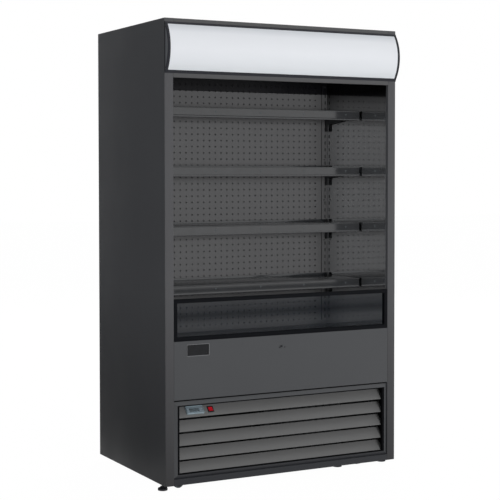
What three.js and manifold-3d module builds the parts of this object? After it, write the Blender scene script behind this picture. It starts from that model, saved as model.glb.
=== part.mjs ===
// Open multideck display fridge: a tall insulated cabinet with a lit curved canopy, four hooked shelves,
// a low front glass, a louvred machine grille, levelling feet and swivel casters.
// Millimetres. +Z is up, the open front faces -Y, and the origin is on the floor under the box's centre.
import * as THREE from "three";
import { mergeVertices } from "three/addons/utils/BufferGeometryUtils.js";
import Module from "manifold-3d";

const wasm = await Module();
wasm.setup();

// ---- driving dimensions -------------------------------------------------------------------------
const gap = 0.3; // clearance between pieces that touch
const bodyWidth = 1175;
const bodyDepth = 760;
const bodyHeight = 2000;
const floorGap = 32; // underside of the cabinet above the floor
const canopyBulge = 38;
const wallThickness = 40;
const rearThickness = 60;

const halfWidth = bodyWidth / 2;
const frontY = (canopyBulge - bodyDepth) / 2;
const backY = frontY + bodyDepth;
const rearPanelY = backY - rearThickness;
const topZ = floorGap + bodyHeight;
const wallX = halfWidth - wallThickness; // inner face of a side panel
const innerX = wallX - gap; // reach of the panels that stand between the side panels

const lidHeight = 16;
const roofBottom = 1976;
const headerBottom = 1781;
const headerDepth = 20;
const canopyBottom = 1799;
const canopyTop = topZ - lidHeight;
const canopyCap = 12;
const canopyTrimTop = 10;
const canopyTrimBottom = 13;

const linerThickness = 2;
const linerX = innerX - linerThickness; // visible inner side wall
const fittedX = linerX - gap; // reach of the pieces between the liners
const ductY = 181.7; // front of the perforated rear panel
const ceilingZ = 1826;
const liningTop = ceilingZ + 3;
const honeycombY = -241;
const honeycombHeight = 26;

const glassBottom = 653;
const glassTop = 834;
const glassBar = 17;
const glassFrameDepth = 18;
const lowerPanelBottom = 399.5;
const lowerPanelDepth = 30;
const deckZ = 620;
const deckFrontY = -262;
const wellFloorZ = 440; // top of the insulated floor

const grilleBottom = 60;
const grilleTop = 393;
const grilleBar = 17;
const grilleDepth = 16;
const grilleSlope = 9; // how far the frame's outer edges lie behind its inner ones
const slatCount = 5;
const slatPitch = 60.25;
const slatFront = -347.3;
const slatTopZ = 320.4; // front edge of the top slat
const slatRun = 43;
const slatRise = 45;
const slatX = 534;
const slatThickness = 2;

const slotPitch = 100 / 3;
const slotFirstZ = 657.5;
const slotCount = 35;
const slotHeight = 16;
const slotWidth = 5;
const slotX = 533;
const uprightFaceY = 175.5;
const uprightSheet = 1.5;
const uprightWidth = 30;
const uprightX = 529.5;

const shelfCount = 4;
const shelfTopZ = 1669.6;
const shelfPitch = 8 * slotPitch;
const shelfX = 538;
const shelfFrontY = -126;
const shelfRearY = 170;
const shelfLip = 42;
const shelfUpstand = 8;
const shelfSheet = 2;
const stripDepth = 7;
const bracketThickness = 3;
const bracketLegY = 148;
const bracketLegHeight = 89;
const hookNeck = 9;
const hookDrop = 6;
const hookSlots = [30, 28]; // the slots that carry the top shelf

const footX = 566;
const middleFootX = 322.5;
const footY = -282;
const footRadius = 21.3;
const footStemRadius = 5.5;
const footStemTop = 98;
const footHang = 10; // the two retracted feet stop this far above the one that reaches the floor
const footLift = 0.6;
const casterX = 458;
const casterFrontY = -270;
const casterRearY = 300;
const casterTrail = 30;
const wheelRadius = 25;
const wheelWidth = 20;
const baseFloorZ = 64;
const baseSheet = 3;

// ---- finishes -----------------------------------------------------------------------------------
function finish(color, roughness, metalness) {
  return new THREE.MeshStandardMaterial({ color, roughness, metalness });
}

const finishes = {
  sidePaint: finish(0x37393d, 0.45, 0.2),
  frontPaint: finish(0x535353, 0.45, 0.2),
  panelPaint: finish(0x4d4e50, 0.45, 0.2),
  slatPaint: finish(0x58585a, 0.45, 0.2),
  blackTrim: finish(0x2b2c34, 0.5, 0),
  blackFrame: finish(0x0e0f12, 0.35, 0),
  badge: finish(0x17181c, 0.3, 0.3),
  diffuser: finish(0xe0e3e7, 0.4, 0),
  lamp: finish(0xe8ecf0, 0.3, 0),
  interior: finish(0x535455, 0.3, 0.5),
  liner: finish(0x55575a, 0.12, 0.9),
  shelf: finish(0x4c4e51, 0.3, 0.4),
  strip: finish(0x5a5b5d, 0.2, 0),
  bracket: finish(0x26282c, 0.4, 0.3),
  glass: finish(0x8fa0a8, 0.05, 0),
  controllerCase: finish(0x1c2024, 0.4, 0),
  clearCover: finish(0xb8c8d2, 0.1, 0),
  redLens: finish(0xc4202c, 0.25, 0),
  blackPlastic: finish(0x15161a, 0.55, 0),
  wheel: finish(0x4b5052, 0.6, 0),
  zinc: finish(0x9a9ea2, 0.35, 0.9),
  compressorPaint: finish(0x101113, 0.35, 0.1),
  finStock: finish(0xb4b8bb, 0.35, 0.9),
};

// ---- solid helpers ------------------------------------------------------------------------------
function toSolid(geometry) {
  const plain = geometry.clone();
  plain.deleteAttribute("normal");
  plain.deleteAttribute("uv");
  const merged = mergeVertices(plain, 1e-4);
  const mesh = new wasm.Mesh({
    numProp: 3,
    vertProperties: new Float32Array(merged.attributes.position.array),
    triVerts: new Uint32Array(merged.index.array),
  });
  return new wasm.Manifold(mesh);
}

function toGeometry(solid) {
  const mesh = solid.getMesh();
  const geometry = new THREE.BufferGeometry();
  geometry.setAttribute("position", new THREE.BufferAttribute(mesh.vertProperties, 3));
  geometry.setIndex(new THREE.BufferAttribute(mesh.triVerts, 1));
  geometry.computeVertexNormals();
  return geometry;
}

function join(first, ...others) {
  return toGeometry(others.reduce((solid, other) => solid.add(toSolid(other)), toSolid(first)));
}

function cut(body, ...tools) {
  return toGeometry(tools.reduce((solid, tool) => solid.subtract(toSolid(tool)), toSolid(body)));
}

function box([x0, x1], [y0, y1], [z0, z1]) {
  const geometry = new THREE.BoxGeometry(x1 - x0, y1 - y0, z1 - z0);
  return geometry.translate((x0 + x1) / 2, (y0 + y1) / 2, (z0 + z1) / 2);
}

// A range of the given width about its middle.
function about(middle, width) {
  return [middle - width / 2, middle + width / 2];
}

// A range that runs from near to far on the side given by sign.
function span(sign, near, far) {
  return sign < 0 ? [-far, -near] : [near, far];
}

function outline(points) {
  return new THREE.Shape(points.map(([a, b]) => new THREE.Vector2(a, b)));
}

// A (y, z) outline carried along X.
function extrudeX(shape, [x0, x1]) {
  const geometry = new THREE.ExtrudeGeometry(shape, { depth: x1 - x0, bevelEnabled: false });
  const turn = new THREE.Matrix4().makeBasis(
    new THREE.Vector3(0, 1, 0),
    new THREE.Vector3(0, 0, 1),
    new THREE.Vector3(1, 0, 0),
  );
  return geometry.applyMatrix4(turn).translate(x0, 0, 0);
}

// The outline of a folded sheet: a line of points given a thickness on its left side.
function sheet(points, thickness) {
  const line = points.map(([a, b]) => new THREE.Vector2(a, b));
  const runs = line.slice(1).map((point, i) => point.clone().sub(line[i]).normalize());
  const offset = line.map((point, i) => {
    const before = runs[Math.max(i - 1, 0)];
    const after = runs[Math.min(i, runs.length - 1)];
    const normal = new THREE.Vector2(-before.y - after.y, before.x + after.x).normalize();
    const stretch = thickness / (normal.y * before.x - normal.x * before.y);
    return point.clone().addScaledVector(normal, stretch);
  });
  return new THREE.Shape([...line, ...offset.reverse()]);
}

function cylinder(radius, length, axis, segments) {
  const geometry = new THREE.CylinderGeometry(radius, radius, length, segments);
  if (axis === "x") geometry.rotateZ(Math.PI / 2);
  if (axis === "z") geometry.rotateX(Math.PI / 2);
  return geometry;
}

// A closed profile of [radius, height] points turned about Z.
function turned(profile, segments) {
  const points = profile.map(([radius, height]) => new THREE.Vector2(radius, height));
  return new THREE.LatheGeometry(points, segments).rotateX(Math.PI / 2);
}

const root = new THREE.Group();
const sides = [
  ["left", -1],
  ["right", 1],
];

function piece(name, geometry, material, parent = root) {
  const mesh = new THREE.Mesh(geometry, material.clone());
  mesh.name = name;
  parent.add(mesh);
  return mesh;
}

// ---- cabinet ------------------------------------------------------------------------------------
const footBoreRadius = 6.5;

function addSidePanels() {
  const boreDepth = 90;
  for (const [side, sign] of sides) {
    const slab = box(span(sign, wallX, halfWidth), [frontY, backY], [floorGap, topZ]);
    const bore = cylinder(footBoreRadius, 2 * boreDepth, "z", 12);
    bore.translate(sign * footX, footY, floorGap);
    piece(`${side}_side_panel`, cut(slab, bore), finishes.sidePaint);
  }
}

function addRearPanel() {
  const slab = box([-innerX, innerX], [rearPanelY, backY], [baseFloorZ + baseSheet + gap, canopyTop - gap]);
  piece("rear_panel", slab, finishes.sidePaint);
}

// A thick insulated slab whose lid laps over the header and the rear panel.
function addTopPanel() {
  const slabFront = frontY + headerDepth + gap;
  const slabBack = rearPanelY - gap;
  const lapped = outline([
    [frontY, canopyTop],
    [slabFront, canopyTop],
    [slabFront, roofBottom],
    [slabBack, roofBottom],
    [slabBack, canopyTop],
    [backY, canopyTop],
    [backY, topZ],
    [frontY, topZ],
  ]);
  piece("top_panel", extrudeX(lapped, [-innerX, innerX]), finishes.frontPaint);
}

function addHeaderPanel() {
  const header = box([-innerX, innerX], [frontY, frontY + headerDepth], [headerBottom, canopyTop - gap]);
  piece("header_panel", header, finishes.frontPaint);
}

function addInsulatedFloor() {
  const slabFront = frontY + lowerPanelDepth + gap;
  const slab = box([-innerX, innerX], [slabFront, rearPanelY - gap], [lowerPanelBottom, wellFloorZ]);
  piece("insulated_floor", slab, finishes.frontPaint);
}

const casters = [
  { place: "front_left", x: -casterX, y: casterFrontY, turn: Math.PI / 2 },
  { place: "front_right", x: casterX, y: casterFrontY, turn: 0 },
  { place: "rear_left", x: -casterX, y: casterRearY, turn: Math.PI / 2 },
  { place: "rear_right", x: casterX, y: casterRearY, turn: 0 },
];

// One folded tray: a front rail under the grille, then a raised floor that runs back to a rear flange.
function addBaseTray() {
  const railDepth = 20;
  const railTop = grilleBottom - gap - baseSheet;
  const flangePlate = 60;
  const flangeThickness = 3.5;
  const boss = 22;
  const folded = sheet(
    [
      [frontY + railDepth - baseSheet, floorGap + baseSheet],
      [frontY + baseSheet, floorGap + baseSheet],
      [frontY + baseSheet, railTop],
      [frontY + railDepth, railTop],
      [frontY + railDepth, baseFloorZ],
      [backY - baseSheet, baseFloorZ],
      [backY - baseSheet, floorGap],
    ],
    baseSheet,
  );
  const bosses = casters.flatMap(({ x, y }) => [
    box(about(x, flangePlate), about(y, flangePlate), about(baseFloorZ - 0.75, flangeThickness)),
    cylinder(boss, 5, "z", 20).translate(x, y, baseFloorZ - 4),
  ]);
  const footHole = cylinder(footBoreRadius, 30, "z", 12).translate(middleFootX, footY, baseFloorZ);
  const tray = join(extrudeX(folded, [-innerX, innerX]), ...bosses);
  piece("base_tray", cut(tray, footHole), finishes.frontPaint);
}

// ---- canopy -------------------------------------------------------------------------------------
// Points down or up the canopy's bulging front from z0 to z1, moved inwards by inset.
function canopyArc(inset, z0, z1, steps) {
  const chord = canopyTop - canopyBottom;
  const rise = canopyBulge - gap;
  const radius = (chord * chord) / (8 * rise) + rise / 2;
  const centreY = frontY - canopyBulge + radius;
  const centreZ = (canopyTop + canopyBottom) / 2;
  return Array.from({ length: steps + 1 }, (_, i) => {
    const z = z0 + ((z1 - z0) * i) / steps;
    return [centreY - Math.sqrt((radius - inset) ** 2 - (z - centreZ) ** 2), z];
  });
}

function addCanopy() {
  const mouthX = halfWidth - canopyCap - gap;
  const plateBack = frontY - gap;
  const plateFront = plateBack - 2;
  const diffuserLow = canopyBottom + canopyTrimBottom;
  const diffuserHigh = canopyTop - canopyTrimTop;
  const capOutline = outline([
    ...canopyArc(0, canopyBottom, canopyTop, 16),
    [plateBack, canopyTop],
    [plateBack, canopyBottom],
  ]);
  for (const [side, sign] of sides) {
    const cap = extrudeX(capOutline, span(sign, halfWidth - canopyCap, halfWidth));
    piece(`canopy_end_cap_${side}`, cap, finishes.blackTrim);
  }

  const housing = outline([
    ...canopyArc(0, canopyBottom, diffuserLow - gap, 2),
    [plateFront, diffuserLow - gap],
    [plateFront, diffuserHigh + gap],
    ...canopyArc(0, diffuserHigh + gap, canopyTop, 2),
    [plateBack, canopyTop],
    [plateBack, canopyBottom],
  ]);
  piece("canopy_housing", extrudeX(housing, [-mouthX, mouthX]), finishes.blackTrim);

  const inset = 0.5;
  const skin = 2.5;
  const pane = outline([
    ...canopyArc(inset, diffuserLow, diffuserHigh, 14),
    ...canopyArc(inset + skin, diffuserHigh, diffuserLow, 14),
  ]);
  piece("canopy_diffuser", extrudeX(pane, [-mouthX, mouthX]), finishes.diffuser);

  const lampRadius = 8;
  const lamp = piece("canopy_light_tube", cylinder(lampRadius, 2 * mouthX - 40, "x", 12), finishes.lamp);
  lamp.position.set(0, plateFront - lampRadius - 6, (diffuserLow + diffuserHigh) / 2);
}

// ---- interior -----------------------------------------------------------------------------------
function addLiners() {
  const low = wellFloorZ + gap;
  const panelBack = frontY + lowerPanelDepth + gap;
  const wallFront = frontY + grilleDepth;
  const headerBack = frontY + headerDepth + gap;
  const wall = outline([
    [panelBack, low],
    [ductY - gap, low],
    [ductY - gap, liningTop],
    [headerBack, liningTop],
    [headerBack, headerBottom - gap],
    [wallFront, headerBottom - gap],
    [wallFront, glassTop + gap],
    [panelBack, glassTop + gap],
  ]);
  for (const [side, sign] of sides) {
    piece(`side_liner_${side}`, extrudeX(wall, span(sign, linerX, innerX)), finishes.liner);
  }
  const duct = box([-fittedX, fittedX], [ductY, ductY + 2], [low, liningTop]);
  piece("rear_duct_panel", duct, finishes.interior);
  const ceiling = box([-fittedX, fittedX], [honeycombY + gap, ductY - gap], [ceilingZ, liningTop]);
  piece("ceiling_panel", ceiling, finishes.interior);
}

// A plate from x -fittedX to fittedX with a row of equal openings through it.
function slottedPlate(ys, zs, openings, rib, margin) {
  const pitch = (2 * fittedX) / openings;
  const holes = Array.from({ length: openings }, (_, i) => {
    const xs = about(-fittedX + pitch * (i + 0.5), pitch - rib);
    return box(xs, [ys[0] + margin, ys[1] - margin], [zs[0] - 1, zs[1] + 1]);
  });
  return cut(box([-fittedX, fittedX], ys, zs), ...holes);
}

function addHoneycomb() {
  const ys = [frontY + headerDepth + gap, honeycombY];
  const zs = [ceilingZ - honeycombHeight, ceilingZ + 2];
  piece("air_curtain_honeycomb", slottedPlate(ys, zs, 12, 8, 8), finishes.blackPlastic);
}

function slotZ(index) {
  return slotFirstZ + slotPitch * index;
}

// A shallow channel whose web carries the bracket slots and a few round fixing holes.
function addUprights() {
  const channelBack = ductY - gap;
  const low = slotZ(0) - slotPitch / 2;
  const high = slotZ(slotCount - 1) + slotPitch / 2;
  const through = [uprightFaceY - 1, channelBack + 1];
  const fixings = 5;
  const fixingPitch = 200;
  const fixingFirstZ = 841;
  const fixingX = 527.5;
  for (const [side, sign] of sides) {
    const x = sign * uprightX;
    const channel = box(about(x, uprightWidth), [uprightFaceY, channelBack], [low, high]);
    const hollow = box(
      about(x, uprightWidth - 2 * uprightSheet),
      [uprightFaceY + uprightSheet, channelBack + 1],
      [low - 1, high + 1],
    );
    const slots = Array.from({ length: slotCount }, (_, i) =>
      box(about(sign * slotX, slotWidth), through, about(slotZ(i), slotHeight)),
    );
    const holes = Array.from({ length: fixings }, (_, i) =>
      cylinder(3.5, 8, "y", 8).translate(sign * fixingX, uprightFaceY, fixingFirstZ + fixingPitch * i),
    );
    piece(`upright_${side}`, cut(channel, hollow, ...slots, ...holes), finishes.interior);
  }
}

// ---- shelves ------------------------------------------------------------------------------------
// Each shelf is built about its own top surface: z is 0 where goods stand.
function shelfTray() {
  const returnFlange = 12;
  const notchDepth = 24;
  const folded = sheet(
    [
      [shelfFrontY + returnFlange, -shelfLip],
      [shelfFrontY, -shelfLip],
      [shelfFrontY, 0],
      [shelfRearY - shelfSheet, 0],
      [shelfRearY - shelfSheet, shelfUpstand],
    ],
    -shelfSheet,
  );
  const parts = sides.map(([, sign]) => {
    const xs = span(sign, shelfX - shelfSheet, shelfX);
    return box(xs, [shelfFrontY, shelfRearY - notchDepth], [-shelfLip, 0]);
  });
  const notches = sides.map(([, sign]) => {
    const xs = span(sign, slotX - 4, shelfX + 1);
    return box(xs, [shelfRearY - notchDepth, shelfRearY + 1], [-shelfLip, shelfUpstand + 1]);
  });
  return cut(join(extrudeX(folded, [-shelfX, shelfX]), ...parts), ...notches);
}

// The price rail: a rolled grip along the top, a flat face for labels and a grip along the bottom.
function ticketStrip() {
  const back = shelfFrontY - gap;
  const front = back - stripDepth + gap;
  const face = front + 2;
  const bottom = -43;
  const profile = outline([
    [back, 1],
    [face, 1],
    [front, -1],
    [front, -5.6],
    [face, -6.6],
    [face, -30],
    [front, -31],
    [front, bottom + 2],
    [face, bottom],
    [back, bottom],
  ]);
  return extrudeX(profile, [-shelfX, shelfX]);
}

// Two side arms with rear legs and slot hooks, tied by a bar under the tray.
function bracketFrame() {
  const top = -shelfSheet - gap;
  const armFront = shelfFrontY + shelfSheet + 2;
  const legBack = uprightFaceY - gap;
  const shoulder = hookNeck;
  const round = 5;
  const arm = outline([
    [armFront, -36],
    [-5, -41],
    [bracketLegY - 4, -54],
    [bracketLegY, -58],
    [bracketLegY, round - bracketLegHeight],
    [bracketLegY + round, -bracketLegHeight],
    [legBack, -bracketLegHeight],
    [legBack, shoulder],
    [bracketLegY + round, shoulder],
    [bracketLegY, shoulder - round],
    [bracketLegY, top],
    [armFront, top],
  ]);
  const tabFront = uprightFaceY + uprightSheet + 0.4;
  const tabBack = tabFront + 2;
  const arms = sides.flatMap(([, sign]) => {
    const xs = about(sign * slotX, bracketThickness);
    const hooks = hookSlots.flatMap((slot) => {
      const low = slotZ(slot) - shelfTopZ - slotHeight / 2 + gap;
      return [
        box(xs, [legBack - 1, tabBack], [low, low + hookNeck]),
        box(xs, [tabFront, tabBack], [low - hookDrop, low + hookNeck]),
      ];
    });
    return [extrudeX(arm, xs), ...hooks];
  });
  return join(box([-slotX, slotX], [bracketLegY - 18, bracketLegY - 8], [-32, top]), ...arms);
}

function addShelves() {
  const tray = shelfTray();
  const strip = ticketStrip();
  const frame = bracketFrame();
  for (let i = 0; i < shelfCount; i += 1) {
    const shelf = new THREE.Group();
    shelf.position.z = shelfTopZ - shelfPitch * i;
    root.add(shelf);
    piece(`shelf_tray_${i + 1}`, tray, finishes.shelf, shelf);
    piece(`ticket_strip_${i + 1}`, strip, finishes.strip, shelf);
    piece(`shelf_bracket_frame_${i + 1}`, frame, finishes.bracket, shelf);
  }
}

// ---- front --------------------------------------------------------------------------------------
function addFrontGlass() {
  const flange = 10;
  const paneThickness = 6;
  const paneX = 538;
  const paneZ = [663, 825];
  const openX = wallX - glassBar;
  const ys = [frontY, frontY + glassFrameDepth];
  const frame = cut(
    box([-innerX, innerX], ys, [glassBottom, glassTop]),
    box([-openX, openX], [ys[0] - 1, ys[1] + 1], [glassBottom + glassBar, glassTop - glassBar]),
    box([-paneX - gap, paneX + gap], [ys[0] + flange, ys[1] + 1], [paneZ[0] - gap, paneZ[1] + gap]),
  );
  piece("front_glass_frame", frame, finishes.blackFrame);
  const paneFront = frontY + flange + gap;
  piece("front_glass", box([-paneX, paneX], [paneFront, paneFront + paneThickness], paneZ), finishes.glass);
}

// The insulated lower front, with a small hook plate that holds a night cover's pull bar.
function addLowerPanel() {
  const catchX = -13;
  const catchZ = 592;
  const hookFront = frontY - 8;
  const slabZ = [lowerPanelBottom, glassBottom - gap];
  const slab = box([-innerX, innerX], [frontY, frontY + lowerPanelDepth], slabZ);
  const plate = box(about(catchX, 26), [frontY - 1.5, frontY + 1], about(catchZ, 10));
  const shelf = box(about(catchX, 8), [hookFront, frontY + 1], about(catchZ, 2));
  const tip = box(about(catchX, 8), [hookFront, hookFront + 1.5], [catchZ - 1, catchZ + 6]);
  piece("front_lower_panel", join(slab, plate, shelf, tip), finishes.panelPaint);
}

function addBadgePlate() {
  const badgeX = -432.5;
  const badgeZ = 612;
  const plate = box(about(badgeX, 108), [frontY - 2, frontY - gap], about(badgeZ, 51));
  piece("badge_plate", plate, finishes.badge);
}

function addDeck() {
  const lip = 15;
  const fold = 2;
  const pan = sheet(
    [
      [deckFrontY + fold, deckZ - lip],
      [deckFrontY + fold, deckZ - fold],
      [uprightFaceY + 1, deckZ - fold],
    ],
    fold,
  );
  piece("deck_pan", extrudeX(pan, [-fittedX, fittedX]), finishes.shelf);
  const ys = [frontY + lowerPanelDepth + gap, deckFrontY - gap];
  piece("return_air_grille", slottedPlate(ys, [deckZ - 8, deckZ], 16, 12, 6), finishes.shelf);
}

// ---- machine grille and controls ----------------------------------------------------------------
const slatAngle = Math.atan2(slatRise, slatRun);

// A group on the top slat: its x runs along the slat, its y up the slope and its z out of the face.
function slatGroup(x, upSlope) {
  const group = new THREE.Group();
  const y = slatFront + Math.cos(slatAngle) * upSlope;
  const z = slatTopZ + Math.sin(slatAngle) * upSlope;
  group.position.set(x, y, z);
  group.rotation.x = slatAngle;
  group.updateMatrixWorld(true);
  return group;
}

const controllerPlace = slatGroup(-434, 32.5);
const switchPlace = slatGroup(-357, 30.5);
const controllerBox = [70, 26];
const switchBox = [25, 27];

function addGrille() {
  const outer = box([-innerX, innerX], [frontY, frontY + grilleDepth], [grilleBottom, grilleTop]);
  const openX = wallX - grilleBar - 1;
  const openZ = [grilleBottom + grilleBar - 1, grilleTop - grilleBar + 1];
  const window = box([-openX, openX], [frontY - 1, frontY + grilleDepth + 1], openZ);
  // Each bar slopes back from the window to the frame's outer edge, so the bars meet in mitres.
  const middleZ = (grilleBottom + grilleTop) / 2;
  const slopes = [0, 1, 2, 3].map((quarter) => {
    const [near, far] = quarter % 2 ? [openX, innerX] : [openZ[1] - middleZ, grilleTop - middleZ];
    const wedge = outline([
      [frontY - 1, near],
      [frontY, near],
      [frontY + grilleSlope, far],
      [frontY + grilleSlope, far + 1],
      [frontY - 1, far + 1],
    ]);
    const bar = extrudeX(wedge, [-innerX - 1, innerX + 1]);
    return bar.rotateY((quarter * Math.PI) / 2).translate(0, 0, middleZ);
  });
  const hem = 3;
  const slatProfile = sheet(
    [
      [slatFront + hem, slatTopZ - 1],
      [slatFront, slatTopZ],
      [slatFront + slatRun, slatTopZ + slatRise],
    ],
    -slatThickness,
  );
  const slats = Array.from({ length: slatCount }, (_, i) =>
    extrudeX(slatProfile, [-slatX, slatX]).translate(0, 0, -slatPitch * i),
  );
  const stiffenerY = slatFront + slatRun;
  const stiffeners = [-1, 0, 1].map((place) =>
    box(about(place * (slatX - 40), 16), [stiffenerY - 2, stiffenerY + 3], [80, slatTopZ + slatRise]),
  );
  const cutouts = [
    [controllerPlace, controllerBox],
    [switchPlace, switchBox],
  ].map(([place, [wide, tall]]) =>
    box(about(0, wide + 1), about(0, tall + 1), [-8, 8]).applyMatrix4(place.matrixWorld),
  );
  // End plates behind the frame's bars tie the slats to it.
  const endY = [frontY + grilleDepth - 1, stiffenerY];
  const ends = sides.map(([, sign]) => box(span(sign, slatX - 1, slatX + 1), endY, [openZ[0], grilleTop]));
  const body = join(cut(outer, window, ...slopes), ...slats, ...stiffeners, ...ends);
  piece("louver_grille", cut(body, ...cutouts), finishes.slatPaint);
}

function addController() {
  const bezel = box(about(0, 76), about(0, 32), [gap, 2.5]);
  const housing = box(about(0, controllerBox[0]), about(0, controllerBox[1]), [-45, 1]);
  root.add(controllerPlace);
  piece("controller_body", join(bezel, housing), finishes.controllerCase, controllerPlace);

  const width = 84;
  const height = 39;
  const depth = 11;
  const wall = 1.8;
  const shell = cut(
    box(about(0, width), about(0, height), [2 * gap, depth]),
    box(about(0, width - 2 * wall), about(0, height - 2 * wall), [0, depth - wall]),
  );
  piece("controller_cover", shell, finishes.clearCover, controllerPlace);
}

function addPowerSwitch() {
  const rim = box(about(0, 28), about(0, 31), [gap, 3]);
  const can = box(about(0, switchBox[0]), about(0, switchBox[1]), [-24, 1]);
  const well = box(about(0, 21), about(0, 25.2), [-8, 8]);
  root.add(switchPlace);
  piece("switch_body", cut(join(rim, can), well), finishes.blackPlastic, switchPlace);

  const halfLength = 11.2;
  const lens = outline([
    [-8, -3.5],
    [8, -3.5],
    [halfLength, 2.4],
    [0, 3.6],
    [-halfLength, 7.2],
  ]);
  piece("switch_rocker", extrudeX(lens, about(0, 20)), finishes.redLens, switchPlace);
}

// ---- feet and casters ---------------------------------------------------------------------------
function addFeet() {
  const discTop = 8;
  const collarTop = 17.4;
  const foot = turned(
    [
      [0, 0],
      [footRadius - 1.5, 0],
      [footRadius, 1.5],
      [footRadius, discTop],
      [footRadius - 1, discTop + 2.4],
      [footRadius - 3.6, discTop + 3.5],
      [12, 12.6],
      [11, 13.6],
      [11, collarTop],
      [footStemRadius, collarTop],
      [footStemRadius, footStemTop],
      [0, footStemTop],
    ],
    24,
  );
  const raised = footLift + footHang;
  piece("levelling_foot_left", foot, finishes.blackPlastic).position.set(-footX, footY, footLift);
  piece("levelling_foot_middle", foot, finishes.blackPlastic).position.set(middleFootX, footY, raised);
  piece("levelling_foot_right", foot, finishes.blackPlastic).position.set(footX, footY, raised);
}

function casterFork() {
  const crownZ = baseFloorZ - 9;
  const bridgeZ = [baseFloorZ - 11, baseFloorZ - 7.5];
  const half = 18;
  const axleEnd = 9;
  const inside = wheelWidth / 2 + 1.2;
  const sheetThickness = 2.5;
  const cheek = outline([
    [-half, bridgeZ[1]],
    [half, bridgeZ[1]],
    [casterTrail + axleEnd, wheelRadius + 4],
    [casterTrail + axleEnd, wheelRadius - 6],
    [casterTrail - axleEnd, wheelRadius - 6],
    [-half, bridgeZ[0] - 2],
  ]);
  const cheeks = sides.map(([, sign]) => extrudeX(cheek, span(sign, inside, inside + sheetThickness)));
  const bridge = box(about(0, 2 * (inside + sheetThickness)), [-half, half], bridgeZ);
  const crown = cylinder(20, 4, "z", 20).translate(0, 0, crownZ);
  const axle = cylinder(3, 2 * (inside + sheetThickness) + 4, "x", 10);
  return join(crown, bridge, ...cheeks, axle.translate(0, casterTrail, wheelRadius));
}

function casterWheel() {
  const half = wheelWidth / 2;
  const bore = 3.4;
  const hub = 8;
  const rim = 18;
  const dish = half - 3;
  const wheel = turned(
    [
      [bore, -half],
      [hub, -half],
      [hub, -dish],
      [rim, -dish],
      [rim, -half],
      [wheelRadius - 2, -half],
      [wheelRadius, 2 - half],
      [wheelRadius, half - 2],
      [wheelRadius - 2, half],
      [rim, half],
      [rim, dish],
      [hub, dish],
      [hub, half],
      [bore, half],
      [bore, -half],
    ],
    24,
  );
  return wheel.rotateY(Math.PI / 2).translate(0, casterTrail, wheelRadius);
}

function addCasters() {
  const fork = casterFork();
  const wheel = casterWheel();
  for (const { place, x, y, turn } of casters) {
    const caster = new THREE.Group();
    caster.position.set(x, y, 0);
    caster.rotation.z = turn;
    root.add(caster);
    piece(`caster_fork_${place}`, fork, finishes.zinc, caster);
    piece(`caster_wheel_${place}`, wheel, finishes.wheel, caster);
  }
}

// ---- refrigeration ------------------------------------------------------------------------------
// A fan about Y: a round hub with pitched blades.
function fanBlade(radius, hubRadius, depth) {
  const bladeCount = 5;
  const pitchAngle = 0.45;
  const root = hubRadius - 3;
  const blades = Array.from({ length: bladeCount }, (_, i) => {
    const blade = new THREE.BoxGeometry(radius - root, 2, radius * 0.55);
    blade.rotateX(pitchAngle).translate((radius + root) / 2, 0, 0);
    return blade.rotateY((2 * Math.PI * i) / bladeCount);
  });
  return join(cylinder(hubRadius, depth, "y", 16), ...blades);
}

// A finned block: plates standing on the tube bundle that runs through them.
function finnedBlock(width, depth, height, fins) {
  const pitch = width / fins;
  const core = new THREE.BoxGeometry(width, depth * 0.6, height * 0.9);
  const plates = Array.from({ length: fins }, (_, i) => {
    const plate = new THREE.BoxGeometry(pitch * 0.45, depth, height);
    return plate.translate(-width / 2 + pitch * (i + 0.5), 0, 0);
  });
  return join(core, ...plates);
}

const machineFloor = baseFloorZ + baseSheet + gap;

function addCompressor() {
  const shell = turned(
    [
      [0, 12],
      [70, 12],
      [82, 26],
      [85, 60],
      [85, 120],
      [78, 165],
      [50, 195],
      [0, 203],
    ],
    24,
  );
  const rails = [-60, 60].map((y) => box([-100, 100], about(y, 28), [0, 18]));
  piece("compressor", join(shell, ...rails), finishes.compressorPaint).position.set(-300, 60, machineFloor);
}

// The condenser with its fan shroud, motor and motor post, and the fan inside the shroud.
function addCondenser() {
  const x = 140;
  const coilY = -250;
  const coilDepth = 50;
  const height = 280;
  const width = 420;
  const fanRadius = 105;
  const ringRadius = fanRadius + 6;
  const fanZ = machineFloor + height / 2;
  const zs = [machineFloor, machineFloor + height];
  const shroudFront = coilY + coilDepth / 2 - 5;
  const shroudBack = shroudFront + 60;
  const fanY = shroudBack - 8;
  const motorFront = shroudBack + 6;
  const motorLength = 36;
  const shroud = cut(
    box(about(x, width + 8), [shroudFront, shroudBack], zs),
    box(about(x, width), [shroudFront - 1, shroudBack - 3], [zs[0] + 4, zs[1] - 4]),
    cylinder(ringRadius, 40, "y", 24).translate(x, shroudBack, fanZ),
  );
  const coil = finnedBlock(width, coilDepth, height, 12).translate(x, coilY, fanZ);
  const motor = cylinder(34, motorLength, "y", 20).translate(x, motorFront + motorLength / 2, fanZ);
  const post = box(about(x, 16), [motorFront + 6, motorFront + 24], [zs[0], fanZ]);
  const foot = box(about(x, 60), [shroudBack - 2, motorFront + 24], [zs[0], zs[0] + 4]);
  piece("condenser_coil", join(shroud, coil, motor, post, foot), finishes.finStock);
  const fan = piece("condenser_fan_blade", fanBlade(fanRadius, 26, 16), finishes.blackPlastic);
  fan.position.set(x, fanY, fanZ);
}

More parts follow.
